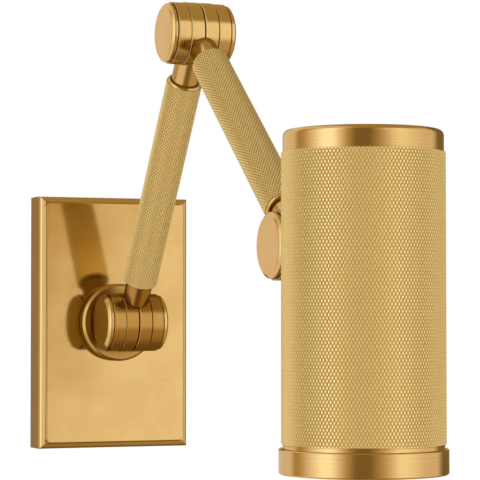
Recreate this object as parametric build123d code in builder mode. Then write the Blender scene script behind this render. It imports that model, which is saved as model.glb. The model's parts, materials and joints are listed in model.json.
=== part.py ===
from build123d import *
import os
from math import cos, radians, sin, sqrt

# Bedside wall light in satin brass. A rectangular plate covers the wall box, a rosette turns on
# the plate, and two knurled arms fold on friction knuckles to a knurled drum shade.
# Millimetres. The origin is on the wall in the middle of the plate, +Y into the wall, +Z up.
# Every knuckle turns about X, and all arms lie in the plane X = 0.

# Clearances
FIT_GAP = 0.05          # round pieces that turn or seat in one another, on the radius
FACE_GAP = 0.05         # flat faces that rub
SWEEP_GAP = 0.3         # a neck above the half that turns under it
EDGE_BREAK = 0.25       # broken edges of the turned rings

# Wall plate
PLATE_WIDTH = 71.0
PLATE_HEIGHT = 114.0
PLATE_SIDE = 13.5       # straight side, from the wall to the bevel
BEVEL_WIDTH = 2.7
BEVEL_RISE = 2.0
PANEL_RISE = 0.9        # the flat panel stands this far above the bevel
PANEL_ROUND = 0.4
PANEL_CORNER = 2.0
PLATE_WALL = 2.0
PLATE_SKIN = 2.4

# Mounting strap behind the plate
STRAP_WIDTH = 20.0
STRAP_THICKNESS = 2.0
STRAP_HOLE_RADIUS = 8.0
TAB_DEPTH = 9.0
TAB_GAP = 0.3           # between a tab and the plate's wall
SLOT_SPACING = 83.3
SLOT_LENGTH = 12.0
SLOT_WIDTH = 4.5
GRUB_RADIUS = 1.5
GRUB_RECESS = 0.3
GRUB_GRIP = 1.0         # how far a grub screw stands past its tab
GRUB_SOCKET_RADIUS = 0.8
GRUB_SOCKET_DEPTH = 1.2
EARTH_SCREW_RADIUS = 2.0
EARTH_HEAD_RADIUS = 4.0
EARTH_HEAD = 2.4
EARTH_SCREW_DROP = 24.0
EARTH_SLOT_WIDTH = 1.0
EARTH_SLOT_DEPTH = 1.2

# Rosette and its swivel
ROSETTE_RADIUS = 17.5
ROSETTE_THICKNESS = 5.4
ROSETTE_BEVEL = 1.0
SWIVEL_WASHER = 0.5
SWIVEL_WASHER_INSET = 1.2
SWIVEL_SPRING = 1.0
SWIVEL_SPRING_RADIUS = 9.0
STEM_RADIUS = 5.0       # threaded hollow stems, all alike
STEM_NUT_FLATS = 14.0
STEM_NUT = 4.0
STEM_PROUD = 1.0        # stem past its nut

# Knuckles, from the split outwards
BARREL_RADIUS = 12.8
HALF_RADIUS = 13.0      # the two halves stand a little proud of their collars
SPLIT_GAP = 0.5
HALF_WIDTH = 5.7
COLLAR_WIDTH = 5.45
CAP_GROOVE = 0.45
CAP_BAND = 1.15
CAP_BEVEL_LENGTH = 1.05
CAP_RADIUS = 12.2
CAP_GROOVE_RADIUS = 11.5
CAP_FACE_RADIUS = 10.7
CAP_SKIN = 1.6
CAP_SPIGOT = 1.2
CAP_SPIGOT_WALL = 1.4
COLLAR_BORE = 9.2
COLLAR_WEB = 2.0
BOSS_RADIUS = 6.4
WIRE_POCKET_RADIUS = 10.5
WIRE_POCKET_DEPTH = 3.0
WIRE_BORE = 2.6
BOLT_RADIUS = 3.0
BOLT_HEAD_RADIUS = 5.0
BOLT_HEAD = 2.0
BOLT_SOCKET_FLATS = 3.0
BOLT_SOCKET_DEPTH = 1.2
BOLT_PROUD = 0.6
NUT_FLATS = 10.0
NUT_THICKNESS = 2.6
SPRING_RADIUS = 6.0
SPRING_THICKNESS = 0.7

# Necks and arms
NECK_RADIUS = 5.8
NECK_SHOW = 2.2         # neck between a barrel and a flat seat
ARM_LENGTH = 145.0      # from pivot to pivot
LOWER_ARM_ANGLE = 34.5  # degrees from straight up, towards the room
UPPER_ARM_ANGLE = 128.9
SLEEVE_RADIUS = 7.55
SLEEVE_SETBACK = 21.8   # from a pivot to the sleeve's end
SLEEVE_RECESS = 1.0     # the neck sinks this far into the sleeve's end
SLEEVE_RECESS_GAP = 0.3
SLEEVE_ROUND = 0.5
SLEEVE_THREAD = 12.0
SLEEVE_BORE = 6.2
ARM_STEM = 10.0

# Shade
SHADE_RADIUS = 28.2
SHADE_WALL = 1.8
KNURL_LENGTH = 100.0
KNURL_RISE = 30.6       # top edge of the knurl above the head pivot
SHADE_CAP_RADIUS = 27.6
SHADE_CAP_HEIGHT = 7.4
SHADE_CAP_ROUND = 2.0
SHADE_CAP_SKIN = 2.5
SHADE_CAP_SPIGOT = 4.0
SHADE_SPIGOT_WALL = 1.0
BEZEL_RADIUS = 29.1
BEZEL_HEIGHT = 8.6
BEZEL_BEVEL = 0.5
BEZEL_GROOVE = 1.4
BEZEL_GROOVE_RADIUS = 27.7
BEZEL_SPIGOT = 6.0
SADDLE_RADIUS = 12.0
SADDLE_THICKNESS = 8.8  # on its axis
PAD_RADIUS = 9.0
PAD_THICKNESS = 2.4     # on its axis

# Lamp and holder inside the shade
HOLDER_BOSS_RADIUS = 9.0
HOLDER_BOSS = 8.0
HOLDER_STEM_GRIP = 5.0
HOLDER_STEM = 17.0
HOLDER_RADIUS = 13.5
HOLDER_HEIGHT = 18.0
HOLDER_NECK_RADIUS = 8.0
HOLDER_NECK = 4.0
HOLDER_BEVEL = 1.5
LAMP_RADIUS = 24.8
LAMP_BASE_RADIUS = 9.6
LAMP_BASE = 13.0
LAMP_SHOULDER_RADIUS = 13.0
LAMP_SHOULDER = 3.0
LAMP_FLARE = 28.0
LAMP_FLARE_BULGE = 2.6  # the flare's middle stands this far out of a straight cone
LAMP_RIM = 8.0
LENS_INSET = 2.0
LENS_THICKNESS = 2.0
LENS_RECESS = 0.6
PIN_SPACING = 10.0
PIN_RADIUS = 1.5
PIN_HEAD_RADIUS = 2.4
PIN_HEAD = 2.0
PIN_LENGTH = 7.0

# Depths out from the wall, and levels, that follow from the sizes above
PLATE_FACE = PLATE_SIDE + BEVEL_RISE + PANEL_RISE
PLATE_INSIDE = PLATE_FACE - PLATE_SKIN
ROSETTE_BACK = PLATE_FACE + FACE_GAP + SWIVEL_WASHER
ROSETTE_FRONT = ROSETTE_BACK + ROSETTE_THICKNESS
SEAT_REACH = BARREL_RADIUS + NECK_SHOW
HALF_END = SPLIT_GAP / 2 + HALF_WIDTH
COLLAR_END = HALF_END + COLLAR_WIDTH
WEB_END = HALF_END + COLLAR_WEB
CAP_END = COLLAR_END + CAP_GROOVE + CAP_BAND + CAP_BEVEL_LENGTH
BOLT_HOLE = BOLT_RADIUS + FIT_GAP
STEM_HOLE = STEM_RADIUS + FIT_GAP
SHADE_BORE = SHADE_RADIUS - SHADE_WALL
SHADE_REACH = SEAT_REACH + SADDLE_THICKNESS + SHADE_RADIUS
MOUTH_RADIUS = SHADE_BORE - FIT_GAP - SHADE_SPIGOT_WALL

X_AXIS = Vector(1, 0, 0)
UP = Vector(0, 0, 1)
DOWN = Vector(0, 0, -1)
TO_WALL = Vector(0, 1, 0)
TO_ROOM = Vector(0, -1, 0)


def leaning(angle):
    """Direction in the plane X = 0, turned from straight up towards the room."""
    return Vector(0, -sin(radians(angle)), cos(radians(angle)))


LOWER_WAY = leaning(LOWER_ARM_ANGLE)
UPPER_WAY = leaning(UPPER_ARM_ANGLE)
BASE_PIVOT = TO_ROOM * (ROSETTE_FRONT + SEAT_REACH)
ELBOW_PIVOT = BASE_PIVOT + LOWER_WAY * ARM_LENGTH
HEAD_PIVOT = ELBOW_PIVOT + UPPER_WAY * ARM_LENGTH
SHADE_AXIS_POINT = HEAD_PIVOT + TO_ROOM * SHADE_REACH
KNURL_TOP = SHADE_AXIS_POINT + UP * KNURL_RISE
KNURL_BOTTOM = KNURL_TOP + DOWN * KNURL_LENGTH

os.makedirs("parts", exist_ok=True)


def keep(piece, name):
    """Label one finished piece and write it."""
    piece.part.label = name
    export_step(piece.part, f"parts/{name}.step")


def turning_plane(start, way):
    """Plane for a turned outline: x runs along the axis, y is the radius."""
    side = UP if abs(way.X) > 0.5 else X_AXIS
    return Plane(origin=start, x_dir=way, z_dir=side)


def turned(start, way, outline):
    """Ring or disc turned from (distance along the axis, radius) corners."""
    plane = turning_plane(start, way)
    with BuildPart() as piece:
        with BuildSketch(plane):
            with BuildLine():
                Polyline(*outline, close=True)
            make_face()
        revolve(axis=Axis(start, way))
    return piece


def washer(start, way, thickness, hole, radius):
    """Flat round washer."""
    return turned(start, way, [(0, hole), (0, radius), (thickness, radius), (thickness, hole)])


def hex_nut(start, way, thickness, hole, flats):
    """Hexagon nut with a plain bore."""
    with BuildPart() as nut:
        with BuildSketch(Plane(origin=start, z_dir=way)):
            RegularPolygon(flats / 2, side_count=6, major_radius=False)
            Circle(hole, mode=Mode.SUBTRACT)
        extrude(amount=thickness)
    return nut


def knuckle(pivot, way, side, seat, stem_length):
    """Half of a friction knuckle with its neck up to a seat and a hollow threaded stem.

    side is -1 for the left half and +1 for the right one.
    """
    split = side * SPLIT_GAP / 2
    pocket = side * (SPLIT_GAP / 2 + WIRE_POCKET_DEPTH)
    back = side * HALF_END
    ease = side * EDGE_BREAK
    neck_foot = (WIRE_POCKET_RADIUS + sqrt(HALF_RADIUS**2 - NECK_RADIUS**2)) / 2
    rest = (Align.CENTER, Align.CENTER, Align.MIN)
    frame = Plane(origin=pivot, x_dir=X_AXIS, z_dir=way)
    with BuildPart(frame) as half:
        with Locations((0, 0, neck_foot)):
            Cylinder(NECK_RADIUS, seat - neck_foot, align=rest)
        with Locations((split, 0, 0)):
            Cylinder(
                HALF_RADIUS + SWEEP_GAP,
                2 * NECK_RADIUS,
                rotation=(0, -90 * side, 0),
                align=rest,
                mode=Mode.SUBTRACT,
            )
        with BuildSketch(Plane(origin=pivot, x_dir=X_AXIS, z_dir=UP)):
            with BuildLine():
                Polyline(
                    (split, BOLT_HOLE),
                    (split, BOSS_RADIUS),
                    (pocket, BOSS_RADIUS),
                    (pocket, WIRE_POCKET_RADIUS),
                    (split, WIRE_POCKET_RADIUS),
                    (split, HALF_RADIUS - EDGE_BREAK),
                    (split + ease, HALF_RADIUS),
                    (back - ease, HALF_RADIUS),
                    (back, HALF_RADIUS - EDGE_BREAK),
                    (back, BOLT_HOLE),
                    close=True,
                )
            make_face()
        revolve(axis=Axis(pivot, X_AXIS))
        with Locations((0, 0, seat)):
            Cylinder(STEM_RADIUS, stem_length, align=rest)
        with Locations((0, 0, WIRE_POCKET_RADIUS - WIRE_BORE)):
            Cylinder(WIRE_BORE, seat + stem_length, align=rest, mode=Mode.SUBTRACT)
    return half


def collar(pivot, side):
    """Outer ring of a knuckle, a cup for the bolt's head or nut."""
    start = HALF_END
    outline = [
        (start, BOLT_HOLE),
        (start, BARREL_RADIUS - EDGE_BREAK),
        (start + EDGE_BREAK, BARREL_RADIUS),
        (COLLAR_END - EDGE_BREAK, BARREL_RADIUS),
        (COLLAR_END, BARREL_RADIUS - EDGE_BREAK),
        (COLLAR_END, COLLAR_BORE),
        (WEB_END, COLLAR_BORE),
        (WEB_END, BOLT_HOLE),
    ]
    return turned(pivot, X_AXIS * side, outline)


def end_cap(pivot, side):
    """Bevelled cap that closes a collar, hollow behind its face."""
    spigot_radius = COLLAR_BORE - FIT_GAP
    hollow = spigot_radius - CAP_SPIGOT_WALL
    band_start = COLLAR_END + CAP_GROOVE
    outline = [
        (COLLAR_END - CAP_SPIGOT, hollow),
        (COLLAR_END - CAP_SPIGOT, spigot_radius),
        (COLLAR_END, spigot_radius),
        (COLLAR_END, CAP_GROOVE_RADIUS),
        (band_start, CAP_GROOVE_RADIUS),
        (band_start, CAP_RADIUS),
        (band_start + CAP_BAND, CAP_RADIUS),
        (CAP_END, CAP_FACE_RADIUS),
        (CAP_END, 0),
        (CAP_END - CAP_SKIN, 0),
        (CAP_END - CAP_SKIN, hollow),
    ]
    return turned(pivot, X_AXIS * side, outline)


def pivot_bolt(pivot):
    """Bolt of a knuckle, its socket head on the left."""
    length = 2 * WEB_END + FACE_GAP + SPRING_THICKNESS + NUT_THICKNESS + BOLT_PROUD
    head_seat = pivot - X_AXIS * WEB_END
    with BuildPart() as bolt:
        with BuildSketch(Plane(origin=head_seat, z_dir=X_AXIS)):
            Circle(BOLT_RADIUS)
        extrude(amount=length)
        with BuildSketch(Plane(origin=head_seat, z_dir=-X_AXIS)):
            Circle(BOLT_HEAD_RADIUS)
        extrude(amount=BOLT_HEAD)
        with BuildSketch(Plane(origin=head_seat - X_AXIS * BOLT_HEAD, z_dir=X_AXIS)):
            RegularPolygon(BOLT_SOCKET_FLATS / 2, side_count=6, major_radius=False)
        extrude(amount=BOLT_SOCKET_DEPTH, mode=Mode.SUBTRACT)
    return bolt


def knuckle_hardware(joint, pivot):
    """The pieces that all three knuckles share."""
    for side, hand in ((-1, "left"), (1, "right")):
        keep(collar(pivot, side), f"{joint}_{hand}_collar")
        keep(end_cap(pivot, side), f"{joint}_{hand}_cap")
    keep(pivot_bolt(pivot), f"{joint}_bolt")
    disc_start = pivot - X_AXIS * (SPLIT_GAP / 2)
    disc = washer(disc_start, X_AXIS, SPLIT_GAP - FACE_GAP, BOLT_HOLE, BOSS_RADIUS)
    keep(disc, f"{joint}_friction_washer")
    spring_start = pivot + X_AXIS * (WEB_END + FACE_GAP)
    spring = washer(spring_start, X_AXIS, SPRING_THICKNESS, BOLT_HOLE, SPRING_RADIUS)
    keep(spring, f"{joint}_spring_washer")
    nut_start = spring_start + X_AXIS * SPRING_THICKNESS
    keep(hex_nut(nut_start, X_AXIS, NUT_THICKNESS, BOLT_HOLE, NUT_FLATS), f"{joint}_nut")


def sleeve(pivot, way):
    """Arm tube between two pivots, threaded at both ends and recessed round the necks."""
    start = SLEEVE_SETBACK
    end = ARM_LENGTH - SLEEVE_SETBACK
    recess = NECK_RADIUS + SLEEVE_RECESS_GAP
    outline = [
        (start, recess),
        (start, SLEEVE_RADIUS - SLEEVE_ROUND),
        (start + SLEEVE_ROUND, SLEEVE_RADIUS),
        (end - SLEEVE_ROUND, SLEEVE_RADIUS),
        (end, SLEEVE_RADIUS - SLEEVE_ROUND),
        (end, recess),
        (end - SLEEVE_RECESS, recess),
        (end - SLEEVE_RECESS, STEM_HOLE),
        (end - SLEEVE_THREAD, STEM_HOLE),
        (end - SLEEVE_THREAD, SLEEVE_BORE),
        (start + SLEEVE_THREAD, SLEEVE_BORE),
        (start + SLEEVE_THREAD, STEM_HOLE),
        (start + SLEEVE_RECESS, STEM_HOLE),
        (start + SLEEVE_RECESS, recess),
    ]
    return turned(pivot, way, outline)


# Wall plate: a hollow tray with bevelled edges and a slightly raised panel
WALL_PLANE = Plane(origin=(0, 0, 0), x_dir=X_AXIS, z_dir=TO_ROOM)
PANEL_WIDTH = PLATE_WIDTH - 2 * BEVEL_WIDTH
PANEL_HEIGHT = PLATE_HEIGHT - 2 * BEVEL_WIDTH
TAB_OUTER = PLATE_HEIGHT / 2 - PLATE_WALL - TAB_GAP
TAB_INNER = TAB_OUTER - STRAP_THICKNESS
GRUB_PLANE = Plane(origin=TO_ROOM * ((TAB_DEPTH + STRAP_THICKNESS) / 2), z_dir=UP)
GRUB_HOLE = GRUB_RADIUS + FIT_GAP

with BuildPart() as backplate:
    with BuildSketch(WALL_PLANE):
        Rectangle(PLATE_WIDTH, PLATE_HEIGHT)
    extrude(amount=PLATE_SIDE)
    with BuildSketch(WALL_PLANE.offset(PLATE_SIDE)):
        Rectangle(PLATE_WIDTH, PLATE_HEIGHT)
    with BuildSketch(WALL_PLANE.offset(PLATE_SIDE + BEVEL_RISE)):
        Rectangle(PANEL_WIDTH, PANEL_HEIGHT)
    loft()
    with BuildSketch(WALL_PLANE.offset(PLATE_SIDE + BEVEL_RISE)):
        RectangleRounded(PANEL_WIDTH, PANEL_HEIGHT, PANEL_CORNER)
    extrude(amount=PANEL_RISE)
    panel_face = backplate.faces().sort_by(Axis.Y)[0]
    fillet(panel_face.edges(), PANEL_ROUND)
    with BuildSketch(WALL_PLANE):
        Rectangle(PLATE_WIDTH - 2 * PLATE_WALL, PLATE_HEIGHT - 2 * PLATE_WALL)
    extrude(amount=PLATE_INSIDE, mode=Mode.SUBTRACT)
    with BuildSketch(WALL_PLANE):
        Circle(STEM_HOLE)
    extrude(amount=PLATE_FACE, mode=Mode.SUBTRACT)
    with BuildSketch(GRUB_PLANE):
        Circle(GRUB_HOLE)
    extrude(amount=PLATE_HEIGHT / 2, both=True, mode=Mode.SUBTRACT)
keep(backplate, "backplate")

# Strap screwed to the wall box, with a folded tab at each end that the plate hangs on
with BuildPart() as mounting_strap:
    with BuildSketch(WALL_PLANE):
        Rectangle(STRAP_WIDTH, 2 * TAB_OUTER)
        Circle(STRAP_HOLE_RADIUS, mode=Mode.SUBTRACT)
        with GridLocations(0, SLOT_SPACING, 1, 2):
            SlotOverall(SLOT_LENGTH, SLOT_WIDTH, rotation=90, mode=Mode.SUBTRACT)
        with Locations((0, -EARTH_SCREW_DROP)):
            Circle(EARTH_SCREW_RADIUS + FIT_GAP, mode=Mode.SUBTRACT)
    extrude(amount=STRAP_THICKNESS)
    with BuildSketch(WALL_PLANE.offset(STRAP_THICKNESS)):
        with GridLocations(0, TAB_OUTER + TAB_INNER, 1, 2):
            Rectangle(STRAP_WIDTH, STRAP_THICKNESS)
    extrude(amount=TAB_DEPTH - STRAP_THICKNESS)
    with BuildSketch(GRUB_PLANE):
        Circle(GRUB_HOLE)
    extrude(amount=TAB_OUTER, both=True, mode=Mode.SUBTRACT)
keep(mounting_strap, "mounting_strap")

# Grub screws through the plate's top and bottom walls into the strap's tabs
GRUB_HEAD = PLATE_HEIGHT / 2 - GRUB_RECESS
GRUB_LENGTH = GRUB_HEAD - TAB_INNER + GRUB_GRIP

with BuildPart() as plate_grub_screws:
    for way in (UP, DOWN):
        head_plane = Plane(origin=GRUB_PLANE.origin + way * GRUB_HEAD, z_dir=-way)
        with BuildSketch(head_plane):
            Circle(GRUB_RADIUS)
        extrude(amount=GRUB_LENGTH)
        with BuildSketch(head_plane):
            RegularPolygon(GRUB_SOCKET_RADIUS, side_count=6)
        extrude(amount=GRUB_SOCKET_DEPTH, mode=Mode.SUBTRACT)
keep(plate_grub_screws, "plate_grub_screws")

# Earth screw on the strap
EARTH_PLANE = Plane(origin=DOWN * EARTH_SCREW_DROP, x_dir=X_AXIS, z_dir=TO_ROOM)

with BuildPart() as earth_screw:
    with BuildSketch(EARTH_PLANE):
        Circle(EARTH_SCREW_RADIUS)
    extrude(amount=STRAP_THICKNESS)
    with BuildSketch(EARTH_PLANE.offset(STRAP_THICKNESS)):
        Circle(EARTH_HEAD_RADIUS)
    extrude(amount=EARTH_HEAD)
    with BuildSketch(EARTH_PLANE.offset(STRAP_THICKNESS + EARTH_HEAD)):
        Rectangle(2 * EARTH_HEAD_RADIUS, EARTH_SLOT_WIDTH)
    extrude(amount=-EARTH_SLOT_DEPTH, mode=Mode.SUBTRACT)
keep(earth_screw, "earth_screw")

# Rosette that turns on the plate, its slip washer, and the nut that holds it from behind
rosette_outline = [
    (0, STEM_HOLE),
    (0, ROSETTE_RADIUS),
    (ROSETTE_THICKNESS - ROSETTE_BEVEL, ROSETTE_RADIUS),
    (ROSETTE_THICKNESS, ROSETTE_RADIUS - ROSETTE_BEVEL),
    (ROSETTE_THICKNESS, STEM_HOLE),
]
keep(turned(TO_ROOM * ROSETTE_BACK, TO_ROOM, rosette_outline), "rosette")

slip_start = TO_ROOM * (PLATE_FACE + FACE_GAP)
slip_radius = ROSETTE_RADIUS - SWIVEL_WASHER_INSET
keep(washer(slip_start, TO_ROOM, SWIVEL_WASHER, STEM_HOLE, slip_radius), "swivel_washer")

swivel_spring_start = TO_ROOM * (PLATE_INSIDE - FACE_GAP)
swivel_spring = washer(swivel_spring_start, TO_WALL, SWIVEL_SPRING, STEM_HOLE, SWIVEL_SPRING_RADIUS)
keep(swivel_spring, "swivel_spring_washer")

swivel_nut_start = swivel_spring_start + TO_WALL * SWIVEL_SPRING
keep(hex_nut(swivel_nut_start, TO_WALL, STEM_NUT, STEM_HOLE, STEM_NUT_FLATS), "swivel_nut")

SWIVEL_CLAMP = ROSETTE_FRONT - PLATE_INSIDE + FACE_GAP + SWIVEL_SPRING
rosette_stem = SWIVEL_CLAMP + STEM_NUT + STEM_PROUD
keep(knuckle(BASE_PIVOT, TO_WALL, -1, SEAT_REACH, rosette_stem), "rosette_knuckle")

# Arms: each has a right half knuckle at its wall end and a left one at its shade end
ARM_SEAT = SLEEVE_SETBACK + SLEEVE_RECESS

for arm, near, near_name, far, far_name, way in (
    ("lower_arm", BASE_PIVOT, "base", ELBOW_PIVOT, "elbow", LOWER_WAY),
    ("upper_arm", ELBOW_PIVOT, "elbow", HEAD_PIVOT, "head", UPPER_WAY),
):
    keep(knuckle(near, way, 1, ARM_SEAT, ARM_STEM), f"{arm}_{near_name}_knuckle")
    keep(sleeve(near, way), f"{arm}_sleeve")
    keep(knuckle(far, -way, -1, ARM_SEAT, ARM_STEM), f"{arm}_{far_name}_knuckle")

for joint, pivot in (("base", BASE_PIVOT), ("elbow", ELBOW_PIVOT), ("head", HEAD_PIVOT)):
    knuckle_hardware(joint, pivot)

# Shade: knurled drum, its stem through the back wall, a saddle outside and a pad inside
PAD_SEAT = SHADE_REACH - SHADE_BORE + PAD_THICKNESS
shade_stem = PAD_SEAT - SEAT_REACH + STEM_NUT + STEM_PROUD
keep(knuckle(HEAD_PIVOT, TO_ROOM, 1, SEAT_REACH, shade_stem), "shade_knuckle")

with BuildPart() as shade_sleeve:
    with BuildSketch(Plane(origin=KNURL_BOTTOM, z_dir=UP)):
        Circle(SHADE_RADIUS)
        Circle(SHADE_BORE, mode=Mode.SUBTRACT)
    extrude(amount=KNURL_LENGTH)
    with BuildSketch(Plane(origin=HEAD_PIVOT, z_dir=TO_ROOM)):
        Circle(STEM_HOLE)
    extrude(amount=SHADE_REACH, mode=Mode.SUBTRACT)
keep(shade_sleeve, "shade_sleeve")

with BuildPart() as shade_saddle:
    with BuildSketch(Plane(origin=HEAD_PIVOT + TO_ROOM * SEAT_REACH, z_dir=TO_ROOM)):
        Circle(SADDLE_RADIUS)
        Circle(STEM_HOLE, mode=Mode.SUBTRACT)
    extrude(amount=SHADE_REACH - SEAT_REACH)
    with BuildSketch(Plane(origin=SHADE_AXIS_POINT, z_dir=UP)):
        Circle(SHADE_RADIUS + FIT_GAP)
    extrude(amount=2 * SADDLE_RADIUS, both=True, mode=Mode.SUBTRACT)
    back_face = shade_saddle.faces().sort_by(Axis.Y)[-1]
    chamfer(back_face.edges().sort_by(SortBy.LENGTH)[-1], ROSETTE_BEVEL)
keep(shade_saddle, "shade_saddle")

with BuildPart() as shade_pad:
    with BuildSketch(Plane(origin=HEAD_PIVOT + TO_ROOM * PAD_SEAT, z_dir=TO_WALL)):
        Circle(PAD_RADIUS)
        Circle(STEM_HOLE, mode=Mode.SUBTRACT)
    extrude(amount=PAD_THICKNESS)
    with BuildSketch(Plane(origin=SHADE_AXIS_POINT, z_dir=UP)):
        Circle(SHADE_BORE - FIT_GAP)
    extrude(amount=2 * PAD_RADIUS, both=True, mode=Mode.INTERSECT)
keep(shade_pad, "shade_pad")

shade_nut_start = HEAD_PIVOT + TO_ROOM * PAD_SEAT
keep(hex_nut(shade_nut_start, TO_ROOM, STEM_NUT, STEM_HOLE, STEM_NUT_FLATS), "shade_stem_nut")

# Shade cap with an inner boss for the holder's stem
SPIGOT_RADIUS = SHADE_BORE - FIT_GAP
CAP_CEILING = SHADE_CAP_HEIGHT - SHADE_CAP_SKIN
BOSS_FOOT = CAP_CEILING - HOLDER_BOSS
STEM_TOP = BOSS_FOOT + HOLDER_STEM_GRIP

with BuildPart() as shade_cap:
    with BuildSketch(turning_plane(KNURL_TOP, UP)):
        with BuildLine():
            Polyline(
                (-SHADE_CAP_SPIGOT, MOUTH_RADIUS),
                (-SHADE_CAP_SPIGOT, SPIGOT_RADIUS),
                (0, SPIGOT_RADIUS),
                (0, SHADE_CAP_RADIUS),
                (SHADE_CAP_HEIGHT, SHADE_CAP_RADIUS),
                (SHADE_CAP_HEIGHT, 0),
                (STEM_TOP, 0),
                (STEM_TOP, STEM_HOLE),
                (BOSS_FOOT, STEM_HOLE),
                (BOSS_FOOT, HOLDER_BOSS_RADIUS),
                (CAP_CEILING, HOLDER_BOSS_RADIUS),
                (CAP_CEILING, MOUTH_RADIUS),
                close=True,
            )
        make_face()
    revolve(axis=Axis(KNURL_TOP, UP))
    top_edge = shade_cap.edges().filter_by(GeomType.CIRCLE).sort_by(Axis.Z)[-1]
    fillet(top_edge, SHADE_CAP_ROUND)
keep(shade_cap, "shade_cap")

# Bezel: spigot, shadow groove and a wider ring round the mouth
BEZEL_END = BEZEL_GROOVE + BEZEL_HEIGHT
bezel_outline = [
    (-BEZEL_SPIGOT, MOUTH_RADIUS),
    (-BEZEL_SPIGOT, SPIGOT_RADIUS),
    (0, SPIGOT_RADIUS),
    (0, BEZEL_GROOVE_RADIUS),
    (BEZEL_GROOVE, BEZEL_GROOVE_RADIUS),
    (BEZEL_GROOVE, BEZEL_RADIUS - EDGE_BREAK),
    (BEZEL_GROOVE + EDGE_BREAK, BEZEL_RADIUS),
    (BEZEL_END - BEZEL_BEVEL, BEZEL_RADIUS),
    (BEZEL_END, BEZEL_RADIUS - BEZEL_BEVEL),
    (BEZEL_END, MOUTH_RADIUS + BEZEL_BEVEL),
    (BEZEL_END - BEZEL_BEVEL, MOUTH_RADIUS),
]
keep(turned(KNURL_BOTTOM, DOWN, bezel_outline), "shade_bezel")

# Lamp holder on a hollow stem under the cap
STEM_START = KNURL_TOP + UP * STEM_TOP
keep(washer(STEM_START, DOWN, HOLDER_STEM, WIRE_BORE, STEM_RADIUS), "holder_stem")

lock_nut_start = KNURL_TOP + UP * BOSS_FOOT
keep(hex_nut(lock_nut_start, DOWN, STEM_NUT, STEM_HOLE, STEM_NUT_FLATS), "holder_lock_nut")

HOLDER_TOP = STEM_START + DOWN * (HOLDER_STEM - HOLDER_STEM_GRIP)
HOLDER_END = HOLDER_NECK + HOLDER_HEIGHT
HOLDER_FACE = HOLDER_TOP + DOWN * HOLDER_END
PIN_HOLE_RADIUS = PIN_HEAD_RADIUS + SWEEP_GAP

with BuildPart() as lamp_holder:
    with BuildSketch(turning_plane(HOLDER_TOP, DOWN)):
        with BuildLine():
            Polyline(
                (0, STEM_HOLE),
                (0, HOLDER_NECK_RADIUS),
                (HOLDER_NECK, HOLDER_NECK_RADIUS),
                (HOLDER_NECK, HOLDER_RADIUS - HOLDER_BEVEL),
                (HOLDER_NECK + HOLDER_BEVEL, HOLDER_RADIUS),
                (HOLDER_END, HOLDER_RADIUS),
                (HOLDER_END, 0),
                (HOLDER_STEM_GRIP, 0),
                (HOLDER_STEM_GRIP, STEM_HOLE),
                close=True,
            )
        make_face()
    revolve(axis=Axis(HOLDER_TOP, DOWN))
    with BuildSketch(Plane(origin=HOLDER_FACE, x_dir=X_AXIS, z_dir=UP)):
        with GridLocations(PIN_SPACING, 0, 2, 1):
            Circle(PIN_HOLE_RADIUS)
    extrude(amount=PIN_LENGTH + SWEEP_GAP, mode=Mode.SUBTRACT)
keep(lamp_holder, "lamp_holder")

# Spot lamp: body with a flared front, its lens, and the two pins in the holder
LAMP_TOP = HOLDER_FACE + DOWN * SWEEP_GAP
FLARE_START = LAMP_BASE + LAMP_SHOULDER
FLARE_END = FLARE_START + LAMP_FLARE
LAMP_END = FLARE_END + LAMP_RIM
LENS_RADIUS = LAMP_RADIUS - LENS_INSET
LENS_SEAT = LAMP_END - LENS_RECESS - LENS_THICKNESS
FLARE_MIDDLE = (FLARE_START + FLARE_END) / 2
FLARE_MIDDLE_RADIUS = (LAMP_SHOULDER_RADIUS + LAMP_RADIUS) / 2 + LAMP_FLARE_BULGE

with BuildPart() as lamp_body:
    with BuildSketch(turning_plane(LAMP_TOP, DOWN)):
        with BuildLine():
            Polyline(
                (0, 0),
                (0, LAMP_BASE_RADIUS),
                (LAMP_BASE, LAMP_BASE_RADIUS),
                (FLARE_START, LAMP_SHOULDER_RADIUS),
            )
            ThreePointArc(
                (FLARE_START, LAMP_SHOULDER_RADIUS),
                (FLARE_MIDDLE, FLARE_MIDDLE_RADIUS),
                (FLARE_END, LAMP_RADIUS),
            )
            Polyline(
                (FLARE_END, LAMP_RADIUS),
                (LAMP_END, LAMP_RADIUS),
                (LAMP_END, LENS_RADIUS + FIT_GAP),
                (LENS_SEAT, LENS_RADIUS + FIT_GAP),
                (LENS_SEAT, 0),
                (0, 0),
            )
        make_face()
    revolve(axis=Axis(LAMP_TOP, DOWN))
keep(lamp_body, "lamp_body")

lens_start = LAMP_TOP + DOWN * LENS_SEAT
lens_outline = [(0, 0), (0, LENS_RADIUS), (LENS_THICKNESS, LENS_RADIUS), (LENS_THICKNESS, 0)]
keep(turned(lens_start, DOWN, lens_outline), "lamp_lens")

with BuildPart() as lamp_pins:
    pin_plane = Plane(origin=LAMP_TOP, x_dir=X_AXIS, z_dir=UP)
    with BuildSketch(pin_plane):
        with GridLocations(PIN_SPACING, 0, 2, 1):
            Circle(PIN_RADIUS)
    extrude(amount=PIN_LENGTH)
    with BuildSketch(pin_plane.offset(PIN_LENGTH - PIN_HEAD)):
        with GridLocations(PIN_SPACING, 0, 2, 1):
            Circle(PIN_HEAD_RADIUS)
    extrude(amount=PIN_HEAD)
keep(lamp_pins, "lamp_pins")

for label, point in (("base", BASE_PIVOT), ("elbow", ELBOW_PIVOT), ("head", HEAD_PIVOT)):
    print(f"{label} pivot {point.X:.3f} {point.Y:.3f} {point.Z:.3f}")
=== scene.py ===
"""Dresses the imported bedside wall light: brass finishes, knurled sleeves, lamp, studio and camera."""

import json
from math import atan2, cos, pi, radians, sin

import bmesh
import bpy
from bpy.props import FloatProperty, FloatVectorProperty, IntProperty, PointerProperty
from mathutils import Matrix, Vector

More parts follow.
